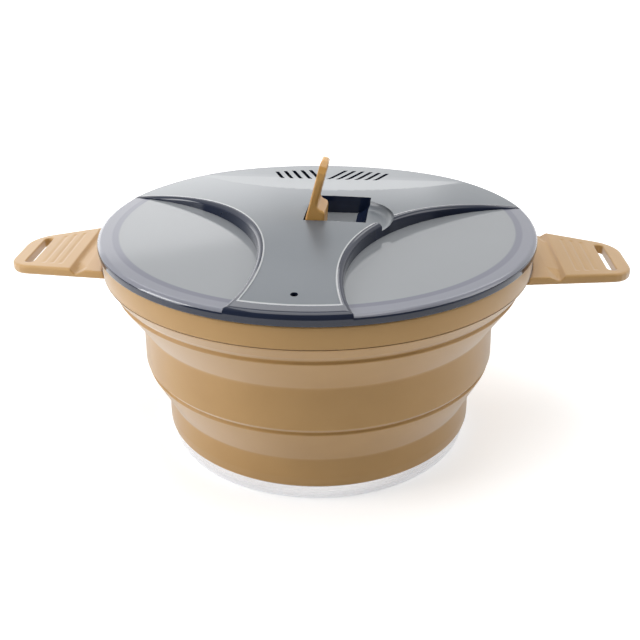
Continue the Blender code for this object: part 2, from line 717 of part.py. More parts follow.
# Tab: its side outline runs along the plate (z) and across it (x), about the hinge
def make_tab(place, material):
    tip = TAB_REACH
    outer = -HUB_R - TAB_SET_BACK
    inner = outer + TAB_T
    heel_z = TAB_SET_BACK / math.tan(math.radians(TAB_LEAN_DEG))
    outline = [(-HUB_R, 0), (outer, heel_z), (outer, tip - TAB_T / 2), (outer + TAB_T / 4, tip),
               (inner - TAB_T / 4, tip), (inner, tip - TAB_T / 2),
               (inner, HUB_REACH + HUB_ROUND), (inner + HUB_ROUND / 3, HUB_REACH + HUB_ROUND / 3),
               (inner + HUB_ROUND, HUB_REACH)]
    for step in range(4):
        turn = math.pi / 2 * step / 3
        outline.append((HUB_TOP - HUB_ROUND * (1 - math.sin(turn)),
                        HUB_REACH - HUB_ROUND * (1 - math.cos(turn))))
    for step in range(7):
        turn = math.pi * step / 7
        outline.append((HUB_R * math.cos(turn), -HUB_R * math.sin(turn)))
    half = TAB_W / 2
    bm = prism([(x, -half, z) for x, z in outline], (0, TAB_W, 0))
    tab = add_object("lid_tab", bm, material, place)
    soften = tab.modifiers.new("soft_edges", 'BEVEL')
    soften.width = TAB_EDGE
    soften.segments = 1
    soften.limit_method = 'ANGLE'
    soften.angle_limit = math.radians(SMOOTH_ANGLE * 2)
    corner_z = tip - TAB_CORNER
    leaf = [(-HUB_R * 2, -half - OVERRUN, -HUB_R * 2), (-HUB_R * 2, -half - OVERRUN, corner_z)]
    for side in (-1, 1):
        for step in range(5):
            turn = math.pi / 2 * (step if side < 0 else 4 - step) / 4
            leaf.append((-HUB_R * 2, side * (half - TAB_CORNER * (1 - math.cos(turn))),
                         corner_z + TAB_CORNER * math.sin(turn)))
    leaf += [(-HUB_R * 2, half + OVERRUN, corner_z), (-HUB_R * 2, half + OVERRUN, -HUB_R * 2)]
    combine(tab, add_object("tab_leaf", prism(leaf, (HUB_R * 4, 0, 0)), parent=place),
            'INTERSECT')
    hole = rod(PIN_R + GAP, PIN_FACETS, (0, -half - OVERRUN, 0), TAB_W + OVERRUN * 2)
    combine(tab, add_object("tab_hole", hole, parent=place))
    return tab


def make_pin(place, material):
    ear_y = TAB_W + GAP * 2 - POCKET_FRONT
    start = -POCKET_FRONT - POCKET_WALL
    bm = rod(PIN_R, PIN_FACETS, (HINGE_X, start, HINGE_Z), ear_y + EAR_T - start)
    return add_object("tab_pin", bm, material, place)


# The cuts are settled into each mesh, whose sharp edges are then marked, and the cutters go
def settle_shapes():
    bpy.context.view_layer.update()
    depsgraph = bpy.context.evaluated_depsgraph_get()
    cut_things = [thing for thing in bpy.data.objects if thing.modifiers and not thing.hide_render]
    meshes = [bpy.data.meshes.new_from_object(thing.evaluated_get(depsgraph))
              for thing in cut_things]
    for thing, mesh in zip(cut_things, meshes):
        thing.modifiers.clear()
        thing.data = mesh
        mesh.name = thing.name
        mesh.shade_smooth()
        mesh.set_sharp_from_angle(angle=math.radians(SMOOTH_ANGLE))
    for thing in [other for other in bpy.data.objects if other.hide_render]:
        bpy.data.objects.remove(thing)


def clear_scene():
    for thing in list(bpy.data.objects):
        bpy.data.objects.remove(thing)


def main():
    clear_scene()
    silicone = finish("silicone", (0.62, 0.44, 0.24), 0.62)
    aluminium = finish("aluminium", (0.80, 0.80, 0.80), 0.28, metallic=1.0)
    steel = finish("frame_steel", (0.55, 0.55, 0.56), 0.35, metallic=1.0)
    smoke = finish("smoke_plastic", (0.30, 0.33, 0.36), 0.25, transmission=0.5)
    tab_tan = finish("tab_tan", (0.68, 0.42, 0.17), 0.45)

    make_base_pan(aluminium)
    make_lower_wall(silicone)
    make_fold("lower_fold", silicone, lower_top_r, lower_fold_z, lower_cone_r, lower_fold_top)
    make_middle_wall(silicone)
    make_fold("upper_fold", silicone, middle_top_r, upper_fold_z, upper_cone_r, upper_fold_top)
    make_upper_wall(silicone)
    make_rim_sleeve(silicone)
    make_rim_frame(steel)
    make_grip("grip_right", 1, silicone)
    make_grip("grip_left", -1, silicone)

    lid_place = bpy.data.objects.new("lid_place", None)
    bpy.context.scene.collection.objects.link(lid_place)
    lid_place.location.z = lid_z
    lid_place.rotation_euler.z = math.radians(LID_TURN_DEG)
    make_lid(lid_place, smoke)
    make_pin(lid_place, steel)

    tab_place = bpy.data.objects.new("tab_place", None)
    bpy.context.scene.collection.objects.link(tab_place)
    tab_place.parent = lid_place
    tab_place.location = (HINGE_X, GAP + TAB_W / 2 - POCKET_FRONT, HINGE_Z)
    tab_place.rotation_euler.y = math.radians(TAB_LEAN_DEG)
    make_tab(tab_place, tab_tan)
    settle_shapes()


main()
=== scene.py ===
# Collapsible silicone cooking pot: soft skins, smoky lid and metal finishes round the frame.
from math import cos, pi, radians, sin, sqrt, tan, tau

import bmesh
import bpy
from mathutils import Euler, Matrix, Vector


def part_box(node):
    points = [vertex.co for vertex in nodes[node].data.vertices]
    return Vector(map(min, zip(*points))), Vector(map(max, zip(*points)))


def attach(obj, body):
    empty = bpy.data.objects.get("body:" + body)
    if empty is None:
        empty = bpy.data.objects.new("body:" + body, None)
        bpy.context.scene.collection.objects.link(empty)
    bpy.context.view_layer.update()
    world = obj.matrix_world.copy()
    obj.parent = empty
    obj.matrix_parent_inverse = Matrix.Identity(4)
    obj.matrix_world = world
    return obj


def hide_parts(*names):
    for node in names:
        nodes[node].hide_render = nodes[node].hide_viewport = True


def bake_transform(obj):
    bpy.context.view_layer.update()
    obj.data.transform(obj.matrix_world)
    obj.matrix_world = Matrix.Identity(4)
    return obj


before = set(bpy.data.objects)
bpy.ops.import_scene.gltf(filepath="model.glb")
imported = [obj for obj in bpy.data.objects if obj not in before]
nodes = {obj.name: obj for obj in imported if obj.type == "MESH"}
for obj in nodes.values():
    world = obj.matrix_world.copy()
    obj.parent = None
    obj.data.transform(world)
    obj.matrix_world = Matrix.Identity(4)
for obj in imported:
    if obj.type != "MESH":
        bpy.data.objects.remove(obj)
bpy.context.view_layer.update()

# Small tools. Lengths are in metres, and angles in dictionaries in degrees
meshing = {
    "sharpAngle": 38,
    "join": 0.000004,
    "toolJoin": 0.000002,
    "narrowest": 0.05,
    "sideShare": 0.48,
}


def newPiece(name, bm, materials, join=meshing["join"]):
    bmesh.ops.remove_doubles(bm, verts=bm.verts, dist=join)
    bmesh.ops.recalc_face_normals(bm, faces=bm.faces)
    if bm.calc_volume(signed=True) < 0:
        bmesh.ops.reverse_faces(bm, faces=bm.faces)
    mesh = bpy.data.meshes.new(name)
    bm.to_mesh(mesh)
    bm.free()
    mesh.shade_smooth()
    mesh.set_sharp_from_angle(angle=radians(meshing["sharpAngle"]))
    piece = bpy.data.objects.new(name, mesh)
    bpy.context.scene.collection.objects.link(piece)
    for material in materials:
        mesh.materials.append(material)
    return piece


def spun(profile, steps):
    # a closed profile of (radius, height) points turned round Z
    bm = bmesh.new()
    verts = [bm.verts.new((point[0], 0, point[1])) for point in profile]
    edges = [bm.edges.new(pair) for pair in zip(verts, verts[1:])]
    if profile[0][0] > 0:
        edges.append(bm.edges.new((verts[-1], verts[0])))
    bmesh.ops.spin(bm, geom=verts + edges, cent=(0, 0, 0), axis=(0, 0, 1),
                   angle=tau, steps=steps, use_merge=True)
    return bm


def softened(points, steps=5):
    # each (radius, height, rounding) corner becomes a short curve
    path = []
    for number, point in enumerate(points):
        corner = Vector(point[:2])
        if len(point) < 3:
            path.append(corner)
            continue
        before = Vector(points[number - 1][:2]) - corner
        after = Vector(points[(number + 1) % len(points)][:2]) - corner
        reach = point[2] / tan(max(before.angle(after) / 2, meshing["narrowest"]))
        reach = min(reach, before.length * meshing["sideShare"], after.length * meshing["sideShare"])
        start = corner + before.normalized() * reach
        end = corner + after.normalized() * reach
        for step in range(steps + 1):
            share = step / steps
            path.append(start.lerp(corner, share).lerp(corner.lerp(end, share), share))
    return path


def carve(piece, tool, operation='DIFFERENCE'):
    change = piece.modifiers.new("carve", 'BOOLEAN')
    change.operation = operation
    change.solver = 'MANIFOLD'
    change.object = tool


def settle(piece, sharpAngle=meshing["sharpAngle"]):
    # the modifiers are made real, and the mesh keeps their result
    depsgraph = bpy.context.evaluated_depsgraph_get()
    mesh = bpy.data.meshes.new_from_object(piece.evaluated_get(depsgraph))
    piece.modifiers.clear()
    piece.data = mesh
    mesh.name = piece.name
    mesh.shade_smooth()
    mesh.set_sharp_from_angle(angle=radians(sharpAngle))


def dress(piece, body, slotName, *replaced):
    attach(piece, body)
    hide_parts(*replaced)


# Materials
cloudSpan = (0.3, 0.7)
tenths = 10.0


def shaderOf(name):
    material = bpy.data.materials.new(name)
    material.use_nodes = True
    tree = material.node_tree
    return material, tree, tree.nodes["Principled BSDF"]


def addNoise(tree, scale, detail=4.0, stretch=None):
    coords = tree.nodes.new("ShaderNodeTexCoord")
    noise = tree.nodes.new("ShaderNodeTexNoise")
    noise.inputs["Scale"].default_value = scale
    noise.inputs["Detail"].default_value = detail
    if stretch:
        mapping = tree.nodes.new("ShaderNodeMapping")
        mapping.inputs["Scale"].default_value = stretch
        tree.links.new(coords.outputs["Object"], mapping.inputs["Vector"])
        tree.links.new(mapping.outputs["Vector"], noise.inputs["Vector"])
    else:
        tree.links.new(coords.outputs["Object"], noise.inputs["Vector"])
    return noise


def addRange(tree, source, low, high, start=0.0, end=1.0):
    remap = tree.nodes.new("ShaderNodeMapRange")
    remap.inputs["From Min"].default_value = start
    remap.inputs["From Max"].default_value = end
    remap.inputs["To Min"].default_value = low
    remap.inputs["To Max"].default_value = high
    tree.links.new(source, remap.inputs["Value"])
    return remap.outputs["Result"]


def paint(tree, shader, noise, shade, light, roughness):
    # one noise moves the colour and the roughness together
    ramp = tree.nodes.new("ShaderNodeValToRGB")
    first, last = ramp.color_ramp.elements
    first.position, last.position = cloudSpan
    first.color = (*shade, 1)
    last.color = (*light, 1)
    tree.links.new(noise.outputs["Fac"], ramp.inputs["Fac"])
    tree.links.new(ramp.outputs["Color"], shader.inputs["Base Color"])
    tree.links.new(addRange(tree, noise.outputs["Fac"], *roughness), shader.inputs["Roughness"])


def addBump(tree, shader, noise, strength, distance):
    bump = tree.nodes.new("ShaderNodeBump")
    bump.inputs["Strength"].default_value = strength
    bump.inputs["Distance"].default_value = distance
    tree.links.new(noise.outputs["Fac"], bump.inputs["Height"])
    tree.links.new(bump.outputs["Normal"], shader.inputs["Normal"])


siliconeLook = {
    "shade": (0.460, 0.268, 0.094),
    "light": (0.500, 0.298, 0.112),
    "roughness": (0.40, 0.50),
    "specular": 0.30,
    "sheen": 0.85,
    "sheenRoughness": 0.4,
    "cloudScale": 38.0,
    "grain": (1900.0, 3.0),
    "bump": (0.10, 0.00008),
}


def makeSilicone():
    material, tree, shader = shaderOf("mattSilicone")
    look = siliconeLook
    cloud = addNoise(tree, look["cloudScale"])
    paint(tree, shader, cloud, look["shade"], look["light"], look["roughness"])
    addBump(tree, shader, addNoise(tree, *look["grain"]), *look["bump"])
    shader.inputs["Specular IOR Level"].default_value = look["specular"]
    shader.inputs["Sheen Weight"].default_value = look["sheen"]
    shader.inputs["Sheen Roughness"].default_value = look["sheenRoughness"]
    return material


aluminiumLook = {
    "shade": (0.73, 0.73, 0.75),
    "light": (0.82, 0.82, 0.84),
    "roughness": (0.20, 0.34),
    "streak": (26.0, 5.0, (1.0, 1.0, 60.0)),
    "bump": (0.12, 0.00006),
}

steelLook = {
    "shade": (0.46, 0.46, 0.47),
    "light": (0.60, 0.60, 0.61),
    "roughness": (0.26, 0.40),
    "streak": (300.0, 4.0, (1.0, 1.0, 12.0)),
}


def makeMetal(name, look):
    # streaks run round the turned pan, and along the drawn steel
    material, tree, shader = shaderOf(name)
    streak = addNoise(tree, *look["streak"])
    paint(tree, shader, streak, look["shade"], look["light"], look["roughness"])
    if "bump" in look:
        addBump(tree, shader, streak, *look["bump"])
    shader.inputs["Metallic"].default_value = 1.0
    return material


smokeLook = {
    "satin": (0.106, 0.122, 0.140),
    "satinLight": (0.122, 0.138, 0.156),
    "satinRoughness": (0.28, 0.33),
    "satinCloud": 30.0,
    "grain": (2600.0, 2.0),
    "bump": (0.08, 0.00005),
    # the bead's pale colour is a painted highlight along the satin's border
    "bead": (0.40, 0.41, 0.42),
    "beadLight": (0.46, 0.47, 0.48),
    "beadCloud": 50.0,
    "dark": (0.007, 0.012, 0.031),
    "darkLight": (0.012, 0.019, 0.044),
    "glossRoughness": (0.05, 0.10),
    "glossCloud": 60.0,
    "glossSpecular": 0.50,
    "wallSpecular": 0.20,
    "clear": (0.40, 0.42, 0.44),
    "clearness": 0.38,
    "paneRoughness": (0.07, 0.10),
    "paneCloud": 45.0,
    # painted shade: a dark ring over the skirt, and a darker bluish tint at the rim outside it
    "ring": (0.25, 0.26, 0.33),
    "outer": (0.34, 0.35, 0.41),
    "ringFrom": 0.0842,
    "ringTo": 0.0864,
    "ringBlur": 0.006,
    "ior": 1.50,
}


def makeSatin():
    # the top of the lid's raised band, moulded against a fine matt tool face
    material, tree, shader = shaderOf("smokeSatin")
    look = smokeLook
    cloud = addNoise(tree, look["satinCloud"])
    paint(tree, shader, cloud, look["satin"], look["satinLight"], look["satinRoughness"])
    addBump(tree, shader, addNoise(tree, *look["grain"]), *look["bump"])
    shader.inputs["IOR"].default_value = look["ior"]
    return material


def makePaintedHighlightBead():
    # the fine matt line round the satin top, which catches the light; its pale colour, far lighter than
    # the satin of the same plastic, is a painted highlight
    material, tree, shader = shaderOf("smokeBeadPaintedHighlight")
    look = smokeLook
    cloud = addNoise(tree, look["beadCloud"])
    paint(tree, shader, cloud, look["bead"], look["beadLight"], look["satinRoughness"])
    shader.inputs["IOR"].default_value = look["ior"]
    return material


def makeDarkGloss(name, specular):
    # polished edges, and the windows' walls, which shine less
    material, tree, shader = shaderOf(name)
    look = smokeLook
    cloud = addNoise(tree, look["glossCloud"])
    paint(tree, shader, cloud, look["dark"], look["darkLight"], look["glossRoughness"])
    shader.inputs["IOR"].default_value = look["ior"]
    shader.inputs["Specular IOR Level"].default_value = specular
    return material


def addRadius(tree):
    # how far a point lies from the lid's axis, in tenths of a metre
    coords = tree.nodes.new("ShaderNodeTexCoord")
    flat = tree.nodes.new("ShaderNodeVectorMath")
    flat.operation = 'MULTIPLY'
    flat.inputs[1].default_value = (tenths, tenths, 0.0)
    length = tree.nodes.new("ShaderNodeVectorMath")
    length.operation = 'LENGTH'
    tree.links.new(coords.outputs["Object"], flat.inputs[0])
    tree.links.new(flat.outputs["Vector"], length.inputs[0])
    return length.outputs["Value"]


def makePane():
    # clear smoke plastic, with painted shade: darker in a ring where the skirt stands under it, and
    # darker and bluish at the rim outside it
    material, tree, shader = shaderOf("smokePane")
    look = smokeLook
    ramp = tree.nodes.new("ShaderNodeValToRGB")
    bands = ramp.color_ramp.elements
    bands[0].color = (*look["clear"], 1)
    bands[1].color = (*look["outer"], 1)
    bands[0].position = look["ringFrom"] * tenths - look["ringBlur"]
    bands[1].position = look["ringTo"] * tenths + look["ringBlur"]
    for place in (look["ringFrom"], look["ringTo"]):
        bands.new(place * tenths).color = (*look["ring"], 1)
    tree.links.new(addRadius(tree), ramp.inputs["Fac"])
    tree.links.new(ramp.outputs["Color"], shader.inputs["Base Color"])
    haze = addNoise(tree, look["paneCloud"])
    tree.links.new(addRange(tree, haze.outputs["Fac"], *look["paneRoughness"]),
                   shader.inputs["Roughness"])
    shader.inputs["Transmission Weight"].default_value = look["clearness"]
    shader.inputs["IOR"].default_value = look["ior"]
    return material


tabLook = {
    "shade": (0.550, 0.285, 0.068),
    "light": (0.620, 0.350, 0.110),
    "roughness": (0.28, 0.36),
    "cloudScale": 120.0,
    "grain": (2200.0, 2.0),
    "bump": (0.08, 0.00005),
    "depth": 0.12,
    "depthRadius": (0.9, 0.5, 0.25),
    "depthScale": 0.002,
}


def makeTabPlastic():
    material, tree, shader = shaderOf("tanPlastic")
    look = tabLook
    cloud = addNoise(tree, look["cloudScale"])
    paint(tree, shader, cloud, look["shade"], look["light"], look["roughness"])
    addBump(tree, shader, addNoise(tree, *look["grain"]), *look["bump"])
    shader.inputs["Subsurface Weight"].default_value = look["depth"]
    shader.inputs["Subsurface Radius"].default_value = look["depthRadius"]
    shader.inputs["Subsurface Scale"].default_value = look["depthScale"]
    return material


silicone = makeSilicone()
aluminium = makeMetal("turnedAluminium", aluminiumLook)
steel = makeMetal("plainSteel", steelLook)
satin = makeSatin()
highlightBead = makePaintedHighlightBead()
darkGloss = makeDarkGloss("smokeGloss", smokeLook["glossSpecular"])
darkWall = makeDarkGloss("smokeWall", smokeLook["wallSpecular"])
clearPane = makePane()
tabPlastic = makeTabPlastic()
print("materials ready")

# Silicone skins: one moulding on the real pot, parted here in the middle of a plain band
skin = {
    "steps": 160,
    "gap": 0.0003,
    "lowerDraft": 0.0007,
    "lowerKneeShare": 0.33,
    "footRound": 0.0006,
    "bandRound": 0.0030,
    "bandThickness": 0.0021,
    "middleDraft": 0.0005,
    "foldThickness": 0.0018,
    "foldRound": 0.0007,
    "innerRound": 0.0030,
    "hingeIn": 0.0010,
    "lowerHinge": (0.0004, 0.0005),
    "upperHinge": (0.0006, 0.0006),
    "lipRound": 0.0009,
    "lipRise": 0.0024,
    "rimLip": 0.0022,
    "rimLipRise": 0.0031,
    "seamIn": 0.0004,
    "seamDown": 0.0008,
    "seamRound": 0.0006,
    "hookHeight": 0.0012,
    "hookWidth": 0.0007,
    "flangeTop": 0.0130,
    "flangeOuter": 0.0668,
    "flangeInner": 0.0656,
    "ledgeRise": 0.0011,
    "ledgeRound": 0.0010,
    "channel": 0.0892,
    "channelFloor": 0.0795,
    "leg": 0.0873,
    "legRound": 0.0003,
    "mouth": 0.0852,
    "mouthRound": 0.0008,
    "mouthFoot": (0.0008, 0.0010),
    "sleeveTop": 0.0013,
    "sleeveRound": 0.0010,
    "sleeveEase": 0.0002,
}

lowerLow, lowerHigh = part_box("lower_wall")
foldLow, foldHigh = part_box("lower_fold")
middleLow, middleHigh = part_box("middle_wall")
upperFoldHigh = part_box("upper_fold")[1]
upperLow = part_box("upper_wall")[0]
sleeveLow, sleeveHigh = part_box("rim_sleeve")

lowerTopR = lowerHigh.x - skin["lowerDraft"]
middleTopR = middleHigh.x - skin["middleDraft"]
middleInnerR = middleTopR - skin["bandThickness"]
partZ = (middleLow.z + middleHigh.z) / 2
partR = middleHigh.x - skin["middleDraft"] / 2
seamZ = sleeveLow.z - skin["gap"]
hookZ = skin["flangeTop"] - skin["hookHeight"] / 2


def lowerSkinProfile():
    knee = lowerLow.z + (lowerHigh.z - lowerLow.z) * skin["lowerKneeShare"]
    hinge = foldHigh.x - skin["hingeIn"]
    hingeRise, hingeRound = skin["lowerHinge"]
    ledge = skin["flangeTop"] + skin["gap"]
    flange = skin["flangeOuter"] + skin["gap"]
    return softened([
        (lowerHigh.x, lowerLow.z, skin["footRound"]), (lowerHigh.x, knee, skin["bandRound"]),
        (lowerTopR, lowerHigh.z + skin["gap"], skin["bandRound"]),
        (foldHigh.x, foldHigh.z, skin["foldRound"]), (hinge, middleLow.z + hingeRise, hingeRound),
        (middleHigh.x, middleLow.z + skin["lipRise"], skin["lipRound"]), (partR, partZ),
        (middleInnerR, partZ), (middleInnerR, middleLow.z, skin["innerRound"]),
        (lowerTopR - skin["foldThickness"], foldLow.z, skin["innerRound"]),
        (skin["flangeInner"], skin["flangeTop"] + skin["ledgeRise"], skin["ledgeRound"]),
        (skin["flangeInner"], ledge), (flange, ledge), (flange + skin["hookWidth"], hookZ),
        (flange, hookZ - skin["hookHeight"] / 2 - skin["gap"]), (flange, lowerLow.z)])


def upperSkinProfile():
    hinge = upperFoldHigh.x - skin["hingeIn"]
    hingeRise, hingeRound = skin["upperHinge"]
    footRise, footRound = skin["mouthFoot"]
    lipZ = upperLow.z + skin["rimLipRise"]
    top = sleeveHigh.z
    return softened([
        (partR, partZ), (middleTopR, middleHigh.z + skin["gap"], skin["bandRound"]),
        (upperFoldHigh.x, upperFoldHigh.z, skin["foldRound"]),
        (hinge, upperLow.z + hingeRise, hingeRound),
        (hinge + skin["rimLip"], lipZ, skin["lipRound"]),
        (sleeveHigh.x - skin["seamIn"], seamZ - skin["seamDown"], skin["seamRound"]),
        (sleeveHigh.x, seamZ), (skin["channel"], seamZ), (skin["channel"], skin["channelFloor"]),
        (skin["leg"], skin["channelFloor"]), (skin["leg"], top, skin["legRound"]),
        (skin["mouth"], top, skin["mouthRound"]),
        (skin["mouth"], upperLow.z + footRise, footRound),
        (middleTopR - skin["foldThickness"], middleHigh.z, skin["innerRound"]),
        (middleInnerR, partZ)])


def sleeveProfile():
    inner = skin["leg"] + skin["gap"]
    under = sleeveHigh.z - skin["sleeveTop"]
    return softened([
        (sleeveHigh.x, sleeveLow.z, skin["sleeveEase"]),
        (sleeveHigh.x, sleeveHigh.z, skin["sleeveRound"]),
        (inner, sleeveHigh.z, skin["sleeveEase"]), (inner, under), (skin["channel"], under),
        (skin["channel"], sleeveLow.z)])


lowerSkin = newPiece("lower_skin", spun(lowerSkinProfile(), skin["steps"]), [silicone])
upperSkin = newPiece("upper_skin", spun(upperSkinProfile(), skin["steps"]), [silicone])
rimSkin = newPiece("rim_skin", spun(sleeveProfile(), skin["steps"]), [silicone])
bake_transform(lowerSkin)
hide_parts("lower_wall", "lower_fold", "middle_wall")
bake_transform(upperSkin)
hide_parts("upper_fold", "upper_wall")
dress(rimSkin, "rim", "silicone", "rim_sleeve")
print("silicone skins ready")

# Base pan: a turned dish with small rounded edges
pan = {
    "steps": 160,
    "inset": 0.0009,
    "taper": 0.0008,
    "footRound": 0.0010,
    "shoulderRound": 0.0006,
    "ringWidth": 0.0150,
    "dish": 0.0006,
    "dishRound": 0.0006,
    "hookRound": 0.0002,
    "flangeRound": 0.0004,
    "floor": 0.0028,
    "fillet": 0.0040,
    "height": 0.0070,
}


def panProfile():
    shoulder = lowerHigh.x - pan["inset"]
    foot = shoulder - pan["taper"]
    dish = foot - pan["ringWidth"]
    flange = skin["flangeOuter"]
    return softened([
        (0, pan["dish"]), (dish - pan["dish"], pan["dish"], pan["dishRound"]),
        (dish, 0, pan["dishRound"]), (foot, 0, pan["footRound"]),
        (shoulder, pan["height"], pan["shoulderRound"]), (flange, pan["height"]),
        (flange, skin["flangeTop"] - skin["hookHeight"]),
        (flange + skin["hookWidth"], hookZ, pan["hookRound"]),
        (flange, skin["flangeTop"], pan["hookRound"]),
        (skin["flangeInner"], skin["flangeTop"], pan["flangeRound"]),
        (skin["flangeInner"], pan["floor"], pan["fillet"]), (0, pan["floor"])])


panPiece = newPiece("base_dish", spun(panProfile(), pan["steps"]), [aluminium])
dress(panPiece, "base", "aluminium", "base_pan")
for steelNode in ("rim_frame", "tab_pin"):
    nodes[steelNode].data.materials.clear()
    nodes[steelNode].data.materials.append(steel)
print("metal ready")

# Moulded soft-edged pieces: the CAD shape, remeshed finely and relaxed a little
moulded = {
    "grip_left": {"voxel": 0.00042, "relax": 4, "body": "rim", "slot": "silicone"},
    "grip_right": {"voxel": 0.00042, "relax": 4, "body": "rim", "slot": "silicone"},
    "lid_tab": {"voxel": 0.00026, "relax": 5, "body": "tab", "slot": "tab_plastic"},
}
mouldedFinish = {"silicone": silicone, "tab_plastic": tabPlastic}
mouldedRelax = 0.5
mouldedAngle = 60


def makeMoulded(node, values):
    material = mouldedFinish[values["slot"]]
    bm = bmesh.new()
    bm.from_mesh(nodes[node].data)
    piece = newPiece(node + "_soft", bm, [material])
    remesh = piece.modifiers.new("remesh", 'REMESH')
    remesh.mode = 'VOXEL'
    remesh.voxel_size = values["voxel"]
    relax = piece.modifiers.new("relax", 'SMOOTH')
    relax.factor = mouldedRelax
    relax.iterations = values["relax"]
    settle(piece, mouldedAngle)
    piece.data.materials.clear()
    piece.data.materials.append(material)
    dress(piece, values["body"], values["slot"], node)


for mouldedNode, mouldedValues in moulded.items():
    makeMoulded(mouldedNode, mouldedValues)
print("grips and tab ready")

# Lid: one spun moulding that every feature is cut into, in its own turned and raised place
lid = {
    "turn": -3.2,
    "rise": 0.0090,
    "facets": 256,
    "rings": 26,
    "rim": 0.0930,
    "crown": 0.0085,
    "fall": 0.0062,
    "tilt": 0.0020,
    "frontFall": 0.0019,
    "edgeRun": 0.0026,
    "edgeFoot": -0.0003,
    "edgeBends": 12,
    "edgeSoft": 0.00016,
    "edgeAngle": 50,
    "edgeMerge": 0.00002,
    "paneEdge": 0.0021,
    "paneRise": 0.0018,
    "paneThickness": 0.0018,
    "lipThickness": 0.0023,
    "lipRound": 0.0008,
    "windowR": 0.0850,
    "windowX": 0.1020,
    "windowY": -0.0590,
    "bead": 0.0002,
    "beadWidth": 0.0006,
    "beadSink": 0.00008,
    "beadFront": 0.0010,
    "sink": 0.00026,
    "stripR": 0.0862,
    "stripShare": 0.999,
    "sideR": 0.0925,
    "sideFrom": -0.0200,
    "creaseY": 0.0264,
    "kneeY": 0.0660,
    "kneeZ": 0.0008,
    "backZ": -0.0010,
    "slabFront": (-0.0060, 0.0450, 0.0625),
    "slabBack": (0.0720, 0.0990),
    "shell": 0.0018,
    "hollowR": 0.0814,
    "hollowDrop": 0.0060,
    "hollowFacets": 96,
    "keeperFacets": 128,
    "skirtOuter": 0.0846,
    "skirtInner": 0.0830,
    "skirtLow": -0.0090,
    "skirtRound": 0.0006,
    "skirtInnerRound": 0.0004,
    "skirtTopRound": 0.0005,
    "skirtPlay": 0.0002,
    "cutLow": -0.02,
    "cutHigh": 0.03,
    "underLow": -0.03,
    "underHigh": 0.01,
    "slabWide": 1.1,
    "roomWide": 1.05,
}

# What is cut off the upper edge of each window wall, seen as a section and swept along it
windowLip = {
    "inset": 0.00004,
    "run": 0.0021,
    "fall": 0.0020,
    "left": 0.0003,
    "fromTo": (-32.0, 88.0),
    "steps": 150,
    "bends": (0, 12, 24, 36, 48, 60, 70, 78),
    "outside": (0.0012, 0.003),
    "inside": (-0.0003, 0.004),
}

pocket = {
    "left": -0.0040,
    "right": 0.0222,
    "front": -0.0160,
    "back": 0.0182,
    "floor": -0.0001,
    "round": 0.0080,
    "roundBends": 12,
    "wall": 0.0016,
    "corner": 0.0008,
    "cornerBends": 4,
    "near": 0.0001,
    "linerLow": -0.0100,
    "linerTop": 0.0090,
    "scoopX": 0.0099,
    "scoopY": -0.0069,
    "scoopR": 0.0232,
    "scoopFlatShare": 0.82,
    "scoopFloor": 0.0044,
    "scoopLap": 0.0024,
    "scoopBends": 10,
    "scoopFacets": 128,
    "shelfFacets": 96,
    "earY": (0.0006, 0.0024),
    "earX": 0.0038,
    "earRoot": 0.0030,
    "earLow": -0.0040,
    "earTop": 0.0068,
    "hingeX": 0.0006,
    "hingeZ": 0.0042,
    "holeR": 0.0013,
    "holeFacets": 24,
    "holeStart": 0.0035,
    "holeLength": 0.0220,
}

strainer = {
    "right": 6,
    "left": 5,
    "pitch": 0.0046,
    "width": 0.0019,
    "axisX": -0.0038,
    "first": 0.0010,
    "frontY": 0.0620,
    "backR": 0.0826,
    "slantShare": 0.36,
    "low": -0.0060,
    "height": 0.0260,
    "ventR": 0.0014,
    "ventX": 0.0010,
    "ventY": -0.0796,
    "ventTop": 0.0200,
    "ventFacets": 32,
}

# Where the lid's finishes change, told from a face's place and lean
finishAt = {
    "steep": 0.5,
    "level": 0.9,
    "under": 0.0001,
    "skirt": 0.0002,
    "floor": 0.0002,
    "wall": 0.0003,
    "rimR": 0.0895,
    "rimY": 0.0270,
    "rimZ": -0.0012,
    "rimLean": 0.2,
}


def crownOf(radius, sunk=0.0):
    return lid["crown"] - sunk - lid["fall"] * (radius / lid["rim"]) ** 2


def dropAt(y):
    # the crown also falls evenly to the back, and a little more to the front rim
    return lid["tilt"] * y / lid["rim"] + lid["frontFall"] * (min(y, 0) / lid["rim"]) ** 2


def crownAt(x, y):
    return crownOf(sqrt(x * x + y * y)) - dropAt(y)


def settleCrown(bm, byShare=False):
    # what was spun about the lid's axis takes on these falls, at its edge only by a share
    for vert in bm.verts:
        if vert.co.z > 0:
            share = vert.co.z / crownOf(vert.co.xy.length) if byShare else 1
            vert.co.z -= dropAt(vert.co.y) * share
    return bm


def backOf(y):
    # the steep back slope, and the gentle one behind its knee
    creaseZ = crownAt(0, lid["creaseY"])
    if y > lid["kneeY"]:
        share = (y - lid["kneeY"]) / (lid["rim"] - lid["kneeY"])
        return lid["kneeZ"] + (lid["backZ"] - lid["kneeZ"]) * share
    share = (y - lid["creaseY"]) / (lid["kneeY"] - lid["creaseY"])
    return creaseZ + (lid["kneeZ"] - creaseZ) * share


def crownArc(lastR, sunk=0.0):
    radii = [lastR * step / lid["rings"] for step in range(lid["rings"] + 1)]
    return [(radius, crownOf(radius, sunk)) for radius in radii]


def placed(bm, x=0.0, y=0.0, z=0.0):
    bmesh.ops.translate(bm, vec=(x, y, z), verts=bm.verts)
    return bm


def joined(*parts):
    bm = bmesh.new()
    for part in parts:
        mesh = bpy.data.meshes.new("part")
        part.to_mesh(mesh)
        part.free()
        bm.from_mesh(mesh)
        bpy.data.meshes.remove(mesh)
    return bm


def boxSolid(low, high):
    bm = bmesh.new()
    bmesh.ops.create_cube(bm, size=1)
    size = [top - bottom for bottom, top in zip(low, high)]
    bmesh.ops.scale(bm, vec=size, verts=bm.verts)
    return placed(bm, *[(top + bottom) / 2 for bottom, top in zip(low, high)])


